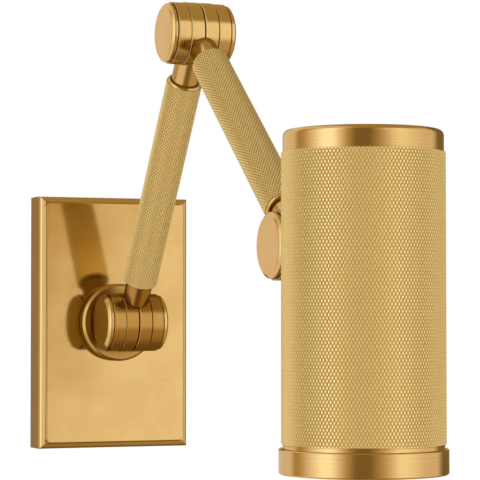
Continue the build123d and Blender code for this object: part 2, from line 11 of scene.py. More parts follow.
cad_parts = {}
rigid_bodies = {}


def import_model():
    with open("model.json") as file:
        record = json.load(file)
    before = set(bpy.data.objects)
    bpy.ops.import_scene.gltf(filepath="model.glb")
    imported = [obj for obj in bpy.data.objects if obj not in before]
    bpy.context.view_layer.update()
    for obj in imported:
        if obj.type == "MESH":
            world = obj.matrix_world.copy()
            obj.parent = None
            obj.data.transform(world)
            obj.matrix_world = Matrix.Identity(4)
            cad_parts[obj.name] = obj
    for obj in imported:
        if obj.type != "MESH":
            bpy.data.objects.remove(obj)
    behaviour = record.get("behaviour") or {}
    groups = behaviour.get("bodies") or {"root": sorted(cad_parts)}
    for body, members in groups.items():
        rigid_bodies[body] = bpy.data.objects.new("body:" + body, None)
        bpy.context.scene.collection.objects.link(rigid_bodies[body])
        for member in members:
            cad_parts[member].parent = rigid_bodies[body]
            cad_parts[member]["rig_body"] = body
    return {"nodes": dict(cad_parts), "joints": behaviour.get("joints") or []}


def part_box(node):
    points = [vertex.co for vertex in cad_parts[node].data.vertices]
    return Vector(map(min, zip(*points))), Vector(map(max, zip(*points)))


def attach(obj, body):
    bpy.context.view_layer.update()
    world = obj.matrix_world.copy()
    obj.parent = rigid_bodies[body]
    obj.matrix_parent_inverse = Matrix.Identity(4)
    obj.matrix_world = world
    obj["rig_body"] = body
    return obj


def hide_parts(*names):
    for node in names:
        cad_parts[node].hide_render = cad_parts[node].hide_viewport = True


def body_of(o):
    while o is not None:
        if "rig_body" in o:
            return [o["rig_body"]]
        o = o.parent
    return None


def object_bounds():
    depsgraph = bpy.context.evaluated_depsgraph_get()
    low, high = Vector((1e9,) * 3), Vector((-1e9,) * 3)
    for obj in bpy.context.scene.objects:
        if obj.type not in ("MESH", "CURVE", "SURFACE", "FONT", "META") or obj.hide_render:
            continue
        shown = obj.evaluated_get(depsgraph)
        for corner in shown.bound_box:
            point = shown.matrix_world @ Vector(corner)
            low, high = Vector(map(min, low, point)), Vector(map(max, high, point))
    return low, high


bl_info = {
    "name": "Bedside wall light",
    "version": (1, 0, 0),
    "blender": (4, 5, 0),
    "location": "View3D > Sidebar > Wall light",
    "description": "Brass finishes, knurled sleeves and a studio for a wall light with folding arms",
    "category": "Object",
}

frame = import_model()
CAD_LOW, CAD_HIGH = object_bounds()
NODES = frame["nodes"]
MM = 0.001

PIVOTS = {joint["name"]: Vector(joint["pos_m"]) for joint in frame["joints"]}
BASE_PIVOT = PIVOTS["base_tilt"]
ELBOW_PIVOT = PIVOTS["elbow_fold"]
HEAD_PIVOT = PIVOTS["head_tilt"]
PLATE_LOW, PLATE_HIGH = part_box("backplate")
KNUCKLES = ("base", "elbow", "head")
HANDS = ("left", "right")

WELD = 1e-6
RIM_ROUND = 1.2 * MM
PANEL_ROUND = 0.5 * MM
LIP_ROUND = 0.25 * MM
ARM_END_ROUND = 1.0 * MM
SHADE_END_ROUND = 0.15 * MM
SHADE_WALL = 1.8 * MM
LACQUER_TINT = "#E8DCC8"
DULL_ZINC = "#A3A39E"


def linear(hex_colour):
    """Linear RGBA of an sRGB hex colour."""
    channels = [int(hex_colour[n : n + 2], 16) / 255 for n in (1, 3, 5)]
    return [c / 12.92 if c <= 0.04045 else ((c + 0.055) / 1.055) ** 2.4 for c in channels] + [1.0]


def add_node(tree, kind, links=None, **settings):
    """Add one node, set its properties, and give each named input a value or a link."""
    node = tree.nodes.new(kind)
    for name, value in settings.items():
        setattr(node, name, value)
    for key, value in (links or {}).items():
        if isinstance(value, bpy.types.NodeSocket):
            tree.links.new(value, node.inputs[key])
        else:
            node.inputs[key].default_value = value
    return node


def per_metre(size_mm):
    """Pattern scale whose features are about size_mm across."""
    return 1 / (size_mm * MM)


class WallLightKnurl(bpy.types.PropertyGroup):
    """Sizes of the diamond knurl on the shade and on the arms."""

    top_share: FloatProperty(
        name="Flat share",
        description="Flat top of a diamond as a share of its foot",
        default=0.52,
        subtype="FACTOR",
        min=0.05,
        max=0.95,
    )
    shade_around: IntProperty(
        name="Shade diamonds", description="Diamonds round the shade", default=136, min=12, max=200
    )
    shade_pitch: FloatProperty(
        name="Shade pitch",
        description="Height of one diamond on the shade",
        default=2.32 * MM,
        unit="LENGTH",
        precision=5,
    )
    shade_depth: FloatProperty(
        name="Shade depth",
        description="Depth of the shade's grooves",
        default=0.28 * MM,
        unit="LENGTH",
        precision=5,
    )
    shade_rim: FloatProperty(
        name="Shade rim",
        description="Plain band at each end of the shade's knurl",
        default=0.35 * MM,
        unit="LENGTH",
        precision=5,
    )
    arm_around: IntProperty(
        name="Arm diamonds", description="Diamonds round an arm", default=40, min=12, max=120
    )
    arm_pitch: FloatProperty(
        name="Arm pitch",
        description="Height of one diamond on an arm",
        default=2.05 * MM,
        unit="LENGTH",
        precision=5,
    )
    arm_depth: FloatProperty(
        name="Arm depth",
        description="Depth of the arms' grooves",
        default=0.26 * MM,
        unit="LENGTH",
        precision=5,
    )
    arm_rim: FloatProperty(
        name="Arm rim",
        description="Plain band at each end of an arm's knurl",
        default=1.15 * MM,
        unit="LENGTH",
        precision=5,
    )


class WallLightFinish(bpy.types.PropertyGroup):
    """Colours of the light's finishes."""

    brass: FloatVectorProperty(
        name="Brass", description="Clean satin brass", subtype="COLOR", size=4, default=linear("#F4D592")
    )
    # real tone in random patches, and painted shade where it is laid on heavily
    aged_and_shaded_brass: FloatVectorProperty(
        name="Aged brass",
        description="Brass where it has toned",
        subtype="COLOR",
        size=4,
        default=linear("#B98629"),
    )
    # brown painted as shade in the knuckles' seams and the plate's step, and on the plate's sides partly as
    # a duller finish
    painted_shade_brass: FloatVectorProperty(
        name="Dark brass",
        description="Brown tone in corners",
        subtype="COLOR",
        size=4,
        default=linear("#7A5A26"),
    )
    knurl_crest: FloatVectorProperty(
        name="Knurl crest",
        description="Rubbed tops of the knurl",
        subtype="COLOR",
        size=4,
        default=linear("#F0D690"),
    )
    # the grooves' colour is partly toned brass and partly painted shade
    groove_tone_and_shade: FloatVectorProperty(
        name="Knurl groove",
        description="Toned grooves of the knurl",
        subtype="COLOR",
        size=4,
        default=linear("#B0904C"),
    )
    steel: FloatVectorProperty(
        name="Steel", description="Zinc plated steel", subtype="COLOR", size=4, default=linear("#C9C8C2")
    )


class WallLightStage(bpy.types.PropertyGroup):
    """Camera and light of the studio."""

    camera_place: FloatVectorProperty(
        name="Camera place",
        description="Where the camera stands",
        subtype="XYZ",
        default=(-0.31356, -0.96014, 0.00269),
    )
    camera_yaw: FloatProperty(
        name="Camera yaw",
        description="Turn of the view from +Y towards +X",
        subtype="ANGLE",
        default=radians(21.642),
    )
    camera_pitch: FloatProperty(
        name="Camera pitch",
        description="Lift of the view above level",
        subtype="ANGLE",
        default=radians(2.013),
    )
    lens: FloatProperty(name="Lens", description="Focal length in millimetres", default=163.1)
    studio_level: FloatProperty(
        name="Studio level", description="Brightness of the studio that the metal mirrors", default=1.22
    )
    key_power: FloatProperty(
        name="Key light", description="Power of the key light", default=4.9, unit="POWER"
    )
    fill_power: FloatProperty(
        name="Fill light", description="Power of the fill light", default=5.0, unit="POWER"
    )
    plate_power: FloatProperty(
        name="Plate light",
        description="Power that the plate throws back on the arm",
        default=0.06,
        unit="POWER",
    )
    floor_glow: FloatProperty(
        name="Floor glow", description="How much paler the camera sees the floor", default=0.4
    )
    floor_drop: FloatProperty(
        name="Floor", description="Depth of the floor below the light's middle", default=0.36, unit="LENGTH"
    )


def new_material(name):
    """Material with a Principled shader; returns it, its tree and the shader."""
    material = bpy.data.materials.new(name)
    material.use_nodes = True
    tree = material.node_tree
    return material, tree, tree.nodes["Principled BSDF"]


def turned_brass(name, finish, axis, roughness, tone_and_shade, seams=()):
    """Brass turned on a lathe and rubbed satin: fine rings about its axis, soft gloss, patches of tone.

    Painted shade darkens the seams, given by their distance from the middle of the axis.
    """
    material, tree, shader = new_material(name)
    place = add_node(tree, "ShaderNodeTexCoord").outputs["Object"]
    height = add_node(tree, "ShaderNodeSeparateXYZ", {0: place}).outputs[axis]
    rings = add_node(
        tree,
        "ShaderNodeTexNoise",
        {"W": height, "Scale": per_metre(0.5), "Detail": 3.0, "Roughness": 0.6},
        noise_dimensions="1D",
    ).outputs["Fac"]
    patches = add_node(
        tree, "ShaderNodeTexNoise", {"Vector": place, "Scale": per_metre(16), "Detail": 3.0}
    ).outputs["Fac"]
    # the share of aged brass starts from the given level, which is painted shade on the pieces where it is
    # high
    tone = add_node(
        tree,
        "ShaderNodeMapRange",
        {"Value": patches, "From Min": 0.38, "From Max": 0.72, "To Min": tone_and_shade, "To Max": tone_and_shade + 0.22},
    ).outputs["Result"]
    ringed = add_node(
        tree,
        "ShaderNodeMapRange",
        {"Value": rings, "From Min": 0.3, "From Max": 0.7, "To Min": -0.08, "To Max": 0.08},
    ).outputs["Result"]
    share = add_node(
        tree, "ShaderNodeMath", {0: tone, 1: ringed}, operation="ADD", use_clamp=True
    ).outputs[0]
    colour = add_node(
        tree, "ShaderNodeMix", {"Factor": share, "A": finish.brass, "B": finish.aged_and_shaded_brass}, data_type="RGBA"
    ).outputs["Result"]
    out = add_node(tree, "ShaderNodeMath", {0: height}, operation="ABSOLUTE").outputs[0]
    # painted shade darkens the seams between the knuckle halves and their collars
    for seam in seams:
        away = add_node(tree, "ShaderNodeMath", {0: out, 1: seam}, operation="SUBTRACT").outputs[0]
        gap = add_node(tree, "ShaderNodeMath", {0: away}, operation="ABSOLUTE").outputs[0]
        inside = add_node(
            tree,
            "ShaderNodeMapRange",
            {"Value": gap, "From Min": 0.45 * MM, "From Max": 0.2 * MM, "To Min": 0.0, "To Max": 0.5},
        ).outputs["Result"]
        colour = add_node(
            tree, "ShaderNodeMix", {"Factor": inside, "A": colour, "B": finish.painted_shade_brass}, data_type="RGBA"
        ).outputs["Result"]
    rough = add_node(
        tree,
        "ShaderNodeMapRange",
        {
            "Value": rings,
            "From Min": 0.3,
            "From Max": 0.7,
            "To Min": roughness - 0.04,
            "To Max": roughness + 0.04,
        },
    ).outputs["Result"]
    tree.links.new(colour, shader.inputs["Base Color"])
    tree.links.new(rough, shader.inputs["Roughness"])
    shader.inputs["Metallic"].default_value = 1.0
    return material


def brushed_brass(finish):
    """Sheet brass brushed level and lacquered: streaks along X, painted shade on the upper left and in the
    step, brown sides that are partly a duller finish and partly painted shade, and a clean rounded edge as a
    painted highlight.
    """
    material, tree, shader = new_material("brushed_sheet_brass")
    place = add_node(tree, "ShaderNodeTexCoord").outputs["Object"]
    axes = add_node(tree, "ShaderNodeSeparateXYZ", {0: place}).outputs
    low, high = PLATE_LOW, PLATE_HIGH
    panel = low.y
    step = panel + 0.85 * MM
    bevel = panel + 2.9 * MM
    drawn = add_node(
        tree,
        "ShaderNodeMapping",
        {"Vector": place, "Scale": (per_metre(24), per_metre(24), per_metre(0.5))},
    ).outputs[0]
    streaks = add_node(
        tree, "ShaderNodeTexNoise", {"Vector": drawn, "Scale": 1.0, "Detail": 3.0}
    ).outputs["Fac"]
    clouds = add_node(
        tree, "ShaderNodeTexNoise", {"Vector": place, "Scale": per_metre(20), "Detail": 4.0}
    ).outputs["Fac"]
    # painted shade darkens the panel towards its upper left corner, where the arm's shadow and reflection
    # fall
    lean = 1.6
    slant = add_node(
        tree, "ShaderNodeMath", {0: axes["X"], 1: -lean, 2: axes["Z"]}, operation="MULTIPLY_ADD"
    ).outputs[0]
    tone_and_shade = add_node(
        tree,
        "ShaderNodeMapRange",
        {
            "Value": slant,
            "From Min": low.z * 0.4,
            "From Max": high.z + lean * high.x,
            "To Min": 0.08,
            "To Max": 0.7,
        },
    ).outputs["Result"]
    cloudy = add_node(
        tree,
        "ShaderNodeMapRange",
        {"Value": clouds, "From Min": 0.35, "From Max": 0.65, "To Min": -0.11, "To Max": 0.11},
    ).outputs["Result"]
    drawn_tone = add_node(
        tree,
        "ShaderNodeMapRange",
        {"Value": streaks, "From Min": 0.3, "From Max": 0.7, "To Min": -0.025, "To Max": 0.025},
    ).outputs["Result"]
    mottle = add_node(tree, "ShaderNodeMath", {0: cloudy, 1: drawn_tone}, operation="ADD").outputs[0]
    share = add_node(
        tree, "ShaderNodeMath", {0: tone_and_shade, 1: mottle}, operation="ADD", use_clamp=True
    ).outputs[0]
    # painted highlight: the panel's rounded edge and the bevel are kept clean brass, so that they read
    # brighter than the panel
    flat = add_node(
        tree,
        "ShaderNodeMapRange",
        {
            "Value": axes["Y"],
            "From Min": panel + 0.02 * MM,
            "From Max": panel + 0.12 * MM,
            "To Min": 1.0,
            "To Max": 0.0,
        },
    ).outputs["Result"]
    patina_and_shade = add_node(tree, "ShaderNodeMath", {0: share, 1: flat}, operation="MULTIPLY").outputs[0]
    face = add_node(
        tree,
        "ShaderNodeMix",
        {"Factor": patina_and_shade, "A": finish.brass, "B": finish.aged_and_shaded_brass},
        data_type="RGBA",
    ).outputs["Result"]
    from_step = add_node(tree, "ShaderNodeMath", {0: axes["Y"], 1: step}, operation="SUBTRACT").outputs[0]
    gap = add_node(tree, "ShaderNodeMath", {0: from_step}, operation="ABSOLUTE").outputs[0]
    # painted shade darkens the step, strongly along the left side and faintly all round
    kept = add_node(
        tree,
        "ShaderNodeMapRange",
        {
            "Value": axes["X"],
            "From Min": low.x + 3 * MM,
            "From Max": low.x + 6 * MM,
            "To Min": 0.55,
            "To Max": 0.1,
        },
    ).outputs["Result"]
    corner = add_node(
        tree,
        "ShaderNodeMapRange",
        {"Value": gap, "From Min": 0.5 * MM, "From Max": 0.2 * MM, "To Min": 0.0, "To Max": kept},
    ).outputs["Result"]
    # the sides are brown in faint streaks, partly a duller finish and partly painted shade
    upright = add_node(
        tree,
        "ShaderNodeMapping",
        {"Vector": place, "Scale": (per_metre(40), per_metre(0.8), per_metre(40))},
    ).outputs[0]
    sides = add_node(
        tree, "ShaderNodeTexNoise", {"Vector": upright, "Scale": 1.0, "Detail": 3.0}
    ).outputs["Fac"]
    side_shade_streaks = add_node(
        tree,
        "ShaderNodeMapRange",
        {"Value": sides, "From Min": 0.3, "From Max": 0.7, "To Min": 0.72, "To Max": 0.88},
    ).outputs["Result"]
    side = add_node(
        tree,
        "ShaderNodeMapRange",
        {
            "Value": axes["Y"],
            "From Min": bevel + 0.8 * MM,
            "From Max": bevel + 1.2 * MM,
            "To Min": 0.0,
            "To Max": side_shade_streaks,
        },
    ).outputs["Result"]
    brown = add_node(tree, "ShaderNodeMath", {0: corner, 1: side}, operation="MAXIMUM").outputs[0]
    colour = add_node(
        tree, "ShaderNodeMix", {"Factor": brown, "A": face, "B": finish.painted_shade_brass}, data_type="RGBA"
    ).outputs["Result"]
    rough = add_node(
        tree,
        "ShaderNodeMapRange",
        {"Value": streaks, "From Min": 0.3, "From Max": 0.7, "To Min": 0.07, "To Max": 0.13},
    ).outputs["Result"]
    tree.links.new(colour, shader.inputs["Base Color"])
    tree.links.new(rough, shader.inputs["Roughness"])
    shader.inputs["Metallic"].default_value = 1.0
    shader.inputs["Specular Tint"].default_value = linear(LACQUER_TINT)
    return material


def knurled_brass(finish):
    """Brass pressed with a diamond knurl and lacquered: rubbed tops, grooves darker partly as toned brass
    and partly as painted shade, matt from afar.
    """
    material, tree, shader = new_material("knurled_brass")
    cut = add_node(tree, "ShaderNodeAttribute", attribute_name="knurl_cut").outputs["Fac"]
    colour = add_node(
        tree,
        "ShaderNodeMix",
        {"Factor": cut, "A": finish.knurl_crest, "B": finish.groove_tone_and_shade},
        data_type="RGBA",
    ).outputs["Result"]
    tree.links.new(colour, shader.inputs["Base Color"])
    for name, crest, groove in (("Metallic", 0.6, 0.3), ("Roughness", 0.28, 0.5)):
        value = add_node(tree, "ShaderNodeMapRange", {"Value": cut, "To Min": crest, "To Max": groove})
        tree.links.new(value.outputs["Result"], shader.inputs[name])
    return material


def zinc_steel(finish):
    """Zinc plated steel: pale grey with a fine crystal grain, each crystal a little duller at its edge."""
    material, tree, shader = new_material("zinc_plated_steel")
    place = add_node(tree, "ShaderNodeTexCoord").outputs["Object"]
    grain = add_node(
        tree, "ShaderNodeTexVoronoi", {"Vector": place, "Scale": per_metre(1.2)}
    ).outputs["Distance"]
    colour = add_node(
        tree, "ShaderNodeMix", {"Factor": grain, "A": finish.steel, "B": linear(DULL_ZINC)}, data_type="RGBA"
    ).outputs["Result"]
    rough = add_node(
        tree, "ShaderNodeMapRange", {"Value": grain, "From Max": 0.8, "To Min": 0.28, "To Max": 0.42}
    ).outputs["Result"]
    tree.links.new(colour, shader.inputs["Base Color"])
    tree.links.new(rough, shader.inputs["Roughness"])
    shader.inputs["Metallic"].default_value = 1.0
    return material


def plain_finish(name, pale, deep, roughness, grain_mm):
    """Moulded, glazed or coated finish: a soft grain between two near tones, which varies the gloss too."""
    material, tree, shader = new_material(name)
    place = add_node(tree, "ShaderNodeTexCoord").outputs["Object"]
    grain = add_node(
        tree, "ShaderNodeTexNoise", {"Vector": place, "Scale": per_metre(grain_mm), "Detail": 3.0}
    ).outputs["Fac"]
    colour = add_node(
        tree, "ShaderNodeMix", {"Factor": grain, "A": linear(pale), "B": linear(deep)}, data_type="RGBA"
    ).outputs["Result"]
    rough = add_node(
        tree, "ShaderNodeMapRange", {"Value": grain, "To Min": roughness - 0.07, "To Max": roughness + 0.07}
    ).outputs["Result"]
    tree.links.new(colour, shader.inputs["Base Color"])
    tree.links.new(rough, shader.inputs["Roughness"])
    return material


def pressed_lens():
    """Pressed glass, frosted inside: white, with pebbles that break up the gloss."""
    material, tree, shader = new_material("pressed_glass_lens")
    place = add_node(tree, "ShaderNodeTexCoord").outputs["Object"]
    pebbles = add_node(
        tree, "ShaderNodeTexVoronoi", {"Vector": place, "Scale": per_metre(2.2)}, feature="SMOOTH_F1"
    ).outputs["Distance"]
    dents = add_node(tree, "ShaderNodeBump", {"Height": pebbles, "Distance": 0.3 * MM}).outputs["Normal"]
    tree.links.new(dents, shader.inputs["Normal"])
    shader.inputs["Base Color"].default_value = linear("#F4F1E6")
    shader.inputs["Roughness"].default_value = 0.22
    return material


def dress(material, *names):
    """Give CAD nodes a finish."""
    for name in names:
        NODES[name].material_slots[0].material = material


def knurl_tree():
    """Geometry nodes that add a band of flat topped diamonds to a plain turned shell.

    The diamonds stand on a flat sheet first, two units wide and two high, and are then wrapped round Z.
    """
    tree = bpy.data.node_groups.new("knurled_band", "GeometryNodeTree")
    tree.interface.new_socket("Geometry", in_out="INPUT", socket_type="NodeSocketGeometry")
    for name, kind in (
        ("Radius", "NodeSocketFloat"),
        ("Start", "NodeSocketFloat"),
        ("Length", "NodeSocketFloat"),
        ("Depth", "NodeSocketFloat"),
        ("Flat share", "NodeSocketFloat"),
        ("Around", "NodeSocketInt"),
        ("Rows", "NodeSocketInt"),
        ("Material", "NodeSocketMaterial"),
    ):
        tree.interface.new_socket(name, in_out="INPUT", socket_type=kind)
    tree.interface.new_socket("Geometry", in_out="OUTPUT", socket_type="NodeSocketGeometry")
    sizes = add_node(tree, "NodeGroupInput").outputs

    # one point for each diamond, with every second row half a diamond further round
    wide = add_node(
        tree, "ShaderNodeMath", {0: sizes["Around"], 1: 2.0, 2: -2.0}, operation="MULTIPLY_ADD"
    ).outputs[0]
    steps = add_node(tree, "ShaderNodeMath", {0: sizes["Rows"], 1: 2.0}, operation="MULTIPLY").outputs[0]
    lines = add_node(tree, "ShaderNodeMath", {0: steps, 1: 1.0}, operation="ADD").outputs[0]
    sheet = add_node(
        tree,
        "GeometryNodeMeshGrid",
        {"Size X": wide, "Size Y": steps, "Vertices X": sizes["Around"], "Vertices Y": lines},
    ).outputs["Mesh"]
    place = add_node(tree, "GeometryNodeInputPosition").outputs[0]
    spot = add_node(tree, "ShaderNodeSeparateXYZ", {0: place}).outputs
    row = add_node(tree, "ShaderNodeMath", {0: spot["Y"], 1: sizes["Rows"]}, operation="ADD").outputs[0]
    count = add_node(tree, "ShaderNodeMath", {0: row}, operation="ROUND").outputs[0]
    odd = add_node(tree, "ShaderNodeMath", {0: count, 1: 2.0}, operation="MODULO").outputs[0]
    shift = add_node(tree, "ShaderNodeCombineXYZ", {"X": odd}).outputs[0]
    points = add_node(tree, "GeometryNodeSetPosition", {"Geometry": sheet, "Offset": shift}).outputs[0]

    # one diamond: four flanks and a flat top, open below
    solid = add_node(
        tree,
        "GeometryNodeMeshCone",
        {"Vertices": 4, "Radius Top": sizes["Flat share"], "Radius Bottom": 1.0, "Depth": 1.0},
    ).outputs
    diamond = add_node(
        tree,
        "GeometryNodeDeleteGeometry",
        {"Geometry": solid["Mesh"], "Selection": solid["Bottom"]},
        domain="FACE",
    ).outputs[0]
    copies = add_node(
        tree, "GeometryNodeInstanceOnPoints", {"Points": points, "Instance": diamond}
    ).outputs[0]
    flat = add_node(tree, "GeometryNodeRealizeInstances", {"Geometry": copies}).outputs[0]

    # wrap the sheet; what lies past either end is drawn back to a square cut
    cut = add_node(tree, "ShaderNodeMath", {0: 1.0, 1: spot["Z"]}, operation="SUBTRACT").outputs[0]
    marked = add_node(
        tree,
        "GeometryNodeStoreNamedAttribute",
        {"Geometry": flat, "Name": "knurl_cut", "Value": cut},
        data_type="FLOAT",
        domain="POINT",
    ).outputs[0]
    named = add_node(
        tree,
        "GeometryNodeStoreNamedAttribute",
        {"Geometry": marked, "Name": "knurled", "Value": True},
        data_type="BOOLEAN",
        domain="FACE",
    ).outputs[0]
    inward = add_node(tree, "ShaderNodeMath", {0: sizes["Depth"], 1: -1.0}, operation="MULTIPLY").outputs[0]
    radius = add_node(
        tree, "ShaderNodeMath", {0: cut, 1: inward, 2: sizes["Radius"]}, operation="MULTIPLY_ADD"
    ).outputs[0]
    turn = add_node(
        tree, "ShaderNodeMath", {0: spot["X"], 1: sizes["Around"]}, operation="DIVIDE"
    ).outputs[0]
    angle = add_node(tree, "ShaderNodeMath", {0: turn, 1: pi}, operation="MULTIPLY").outputs[0]
    share = add_node(
        tree, "ShaderNodeMath", {0: row, 1: steps}, operation="DIVIDE", use_clamp=True
    ).outputs[0]
    rise = add_node(
        tree, "ShaderNodeMath", {0: share, 1: sizes["Length"], 2: sizes["Start"]}, operation="MULTIPLY_ADD"
    ).outputs[0]
    reach = add_node(tree, "ShaderNodeCombineXYZ", {"X": radius, "Z": rise}).outputs[0]
    wrapped = add_node(
        tree, "ShaderNodeVectorRotate", {"Vector": reach, "Angle": angle}, rotation_type="Z_AXIS"
    ).outputs[0]
    band = add_node(tree, "GeometryNodeSetPosition", {"Geometry": named, "Position": wrapped}).outputs[0]
    both = add_node(tree, "GeometryNodeJoinGeometry")
    tree.links.new(band, both.inputs[0])
    tree.links.new(sizes["Geometry"], both.inputs[0])
    welded = add_node(
        tree, "GeometryNodeMergeByDistance", {"Geometry": both.outputs[0], "Distance": 2e-6}
    ).outputs[0]
    real = add_node(tree, "GeometryNodeRealizeInstances", {"Geometry": welded}).outputs[0]
    knurled = add_node(
        tree, "GeometryNodeInputNamedAttribute", {"Name": "knurled"}, data_type="BOOLEAN"
    ).outputs[0]
    coated = add_node(
        tree,
        "GeometryNodeSetMaterial",
        {"Geometry": real, "Selection": knurled, "Material": sizes["Material"]},
    ).outputs[0]
    add_node(tree, "NodeGroupOutput", {"Geometry": coated})
    return tree


def new_piece(name, mesh):
    """Object at the origin for a mesh."""
    piece = bpy.data.objects.new(name, mesh)
    bpy.context.scene.collection.objects.link(piece)
    return piece


def lathe(name, profile, segments):
    """Object turned about Z from (radius, height) points; the profile stays open."""
    mesh = bpy.data.meshes.new(name)
    shell = bmesh.new()
    rings = []
    for radius, height in profile:
        ring = []
        for n in range(segments):
            angle = 2 * pi * n / segments
            ring.append(shell.verts.new((radius * cos(angle), radius * sin(angle), height)))
        rings.append(ring)
    for low, high in zip(rings, rings[1:]):
        for n in range(segments):
            shell.faces.new((low[n], low[n - 1], high[n - 1], high[n]))
    shell.to_mesh(mesh)
    shell.free()
    return new_piece(name, mesh)


def rounded_end(radius, size, count=6):
    """Points of a rounded outer edge at height 0, from the side to the end face."""
    points = []
    for n in range(count + 1):
        turn = pi / 2 * n / count
        points.append((radius - size * (1 - cos(turn)), size * (1 - sin(turn))))
    return points


def along(node, start, way):
    """Lowest and highest distance of a CAD node along an axis, and its largest radius about it."""
    steps = []
    widest = 0.0
    for vertex in NODES[node].data.vertices:
        offset = vertex.co - start
        step = offset.dot(way)
        steps.append(step)
        widest = max(widest, (offset - way * step).length)
    return min(steps), max(steps), widest


def shade_smooth(mesh, angle):
    """Outward normals, smooth faces and sharp edges where the surface turns by more than an angle."""
    surface = bmesh.new()
    surface.from_mesh(mesh)
    bmesh.ops.recalc_face_normals(surface, faces=surface.faces)
    for face in surface.faces:
        face.smooth = True
    surface.to_mesh(mesh)
    surface.free()
    mesh.set_sharp_from_angle(angle=angle)


def knurled_sleeve(name, tree, plain, knurled, start, way, inner, knurl):
    """Knurled sleeve in the place of its CAD node.

    The inner points are the bore's profile from either end towards the middle.
    """
    low, high, radius = along(name, start, way)
    length = high - low
    rim, edge, around, pitch, depth, flat = knurl
    band = length - 2 * rim
    foot = radius - depth
    end = rounded_end(foot, edge)
    profile = [(foot, rim)] + end
    profile += inner + [(r, length - z) for r, z in reversed(inner)]
    profile += [(r, length - z) for r, z in reversed(end)] + [(foot, length - rim)]
    piece = lathe(f"knurled_{name}", profile, 2 * around)
    piece.data.materials.append(plain)
    modifier = piece.modifiers.new("knurl", "NODES")
    modifier.node_group = tree
    values = {
        "Radius": radius,
        "Start": rim,
        "Length": band,
        "Depth": depth,
        "Flat share": flat,
        "Around": around,
        "Rows": round(band / pitch),
        "Material": knurled,
    }
    for socket in tree.interface.items_tree:
        if socket.in_out == "INPUT" and socket.name in values:
            modifier[socket.identifier] = values[socket.name]
    graph = bpy.context.evaluated_depsgraph_get()
    mesh = bpy.data.meshes.new_from_object(
        piece.evaluated_get(graph), preserve_all_data_layers=True, depsgraph=graph
    )
    piece.modifiers.clear()
    piece.data = mesh
    shade_smooth(mesh, radians(20))
    side = Vector((1, 0, 0))
    turn = Matrix((side, way.cross(side), way)).transposed().to_4x4()
    mesh.transform(Matrix.Translation(start + way * low) @ turn)
    stand_for(piece, name)


def stand_for(piece, name):
    """Let a piece ride where a CAD node rides, in its place."""
    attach(piece, body_of(NODES[name])[0])
    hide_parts(name)


def plate_rim(edge):
    """Edge of the wall plate between its side and its bevel."""
    for vertex in edge.verts:
        inside = abs(vertex.co.x) < PLATE_HIGH.x - 0.01 * MM and abs(vertex.co.z) < PLATE_HIGH.z - 0.01 * MM
        if inside or vertex.co.y > PLATE_LOW.y + 5 * MM:
            return False
    return True


def plate_edge(edge):
    """Long edge of the wall plate, off the wall."""
    on_wall = max(vertex.co.y for vertex in edge.verts) > CAD_HIGH.y - 0.01 * MM
    return edge.calc_length() >= 3 * MM and not on_wall


def cap_lip(name, pivot):
    """Choice of the edges round a knuckle cap's face."""
    low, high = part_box(name)
    face = max(low.x, high.x, key=abs)
    least = 0.75 * (high.z - low.z) / 2

    def chosen(edge):
        for vertex in edge.verts:
            away = vertex.co - pivot
            if abs(vertex.co.x - face) > 1.1 * MM or (away.y**2 + away.z**2) ** 0.5 < least:
                return False
        return True

    return chosen


def softened(name, material, *rounds):
    """Copy of a CAD node in its place with sharp edges rounded.

    Each round is a choice of edges and a size.
    """
    mesh = NODES[name].data.copy()
    mesh.name = f"softened_{name}"
    mesh.materials.clear()
    mesh.materials.append(material)
    if mesh.has_custom_normals:
        mesh.attributes.remove(mesh.attributes["custom_normal"])
    body = bmesh.new()
    body.from_mesh(mesh)
    bmesh.ops.remove_doubles(body, verts=body.verts, dist=WELD)
    bmesh.ops.dissolve_limit(body, angle_limit=radians(0.3), verts=body.verts, edges=body.edges)
    rounded = []
    for chosen, width in rounds:
        sharp = []
        for edge in body.edges:
            if len(edge.link_faces) == 2 and edge.calc_face_angle() > radians(22) and chosen(edge):
                sharp.append(edge)
        made = bmesh.ops.bevel(
            body,
            geom=sharp,
            offset=width,
            offset_type="OFFSET",
            segments=4,
            profile=0.5,
            affect="EDGES",
            clamp_overlap=True,
        )
        rounded += made["faces"]
    for face in body.faces:
        face.smooth = face.calc_area() < 40 * MM * MM
    for face in rounded:
        if face.is_valid:
            face.smooth = True
    bmesh.ops.remove_doubles(body, verts=body.verts, dist=WELD)
    bmesh.ops.dissolve_degenerate(body, edges=body.edges, dist=WELD)
    bmesh.ops.recalc_face_normals(body, faces=body.faces)
    for edge in body.edges:
        edge.smooth = edge.calc_face_angle(pi) < radians(32)
    bmesh.ops.triangulate(body, faces=[face for face in body.faces if len(face.verts) > 4])
    body.to_mesh(mesh)
    body.free()
    stand_for(new_piece(f"softened_{name}", mesh), name)


class WALLLIGHT_OT_wall_plate(bpy.types.Operator):
    """Round the wall plate's edges, and finish it and the rosette"""

    bl_idname = "walllight.wall_plate"
    bl_label = "Wall plate"

    def execute(self, context):
        finish = context.scene.wall_light_finish
        softened("backplate", brushed_brass(finish), (plate_rim, RIM_ROUND), (plate_edge, PANEL_ROUND))
        # the rosette's heavy share of aged brass is partly a duller finish and partly painted shade from the
        # knuckle before it
        dress(turned_brass("turned_rosette_brass", finish, "Y", 0.24, 0.55), "rosette")
        return {"FINISHED"}


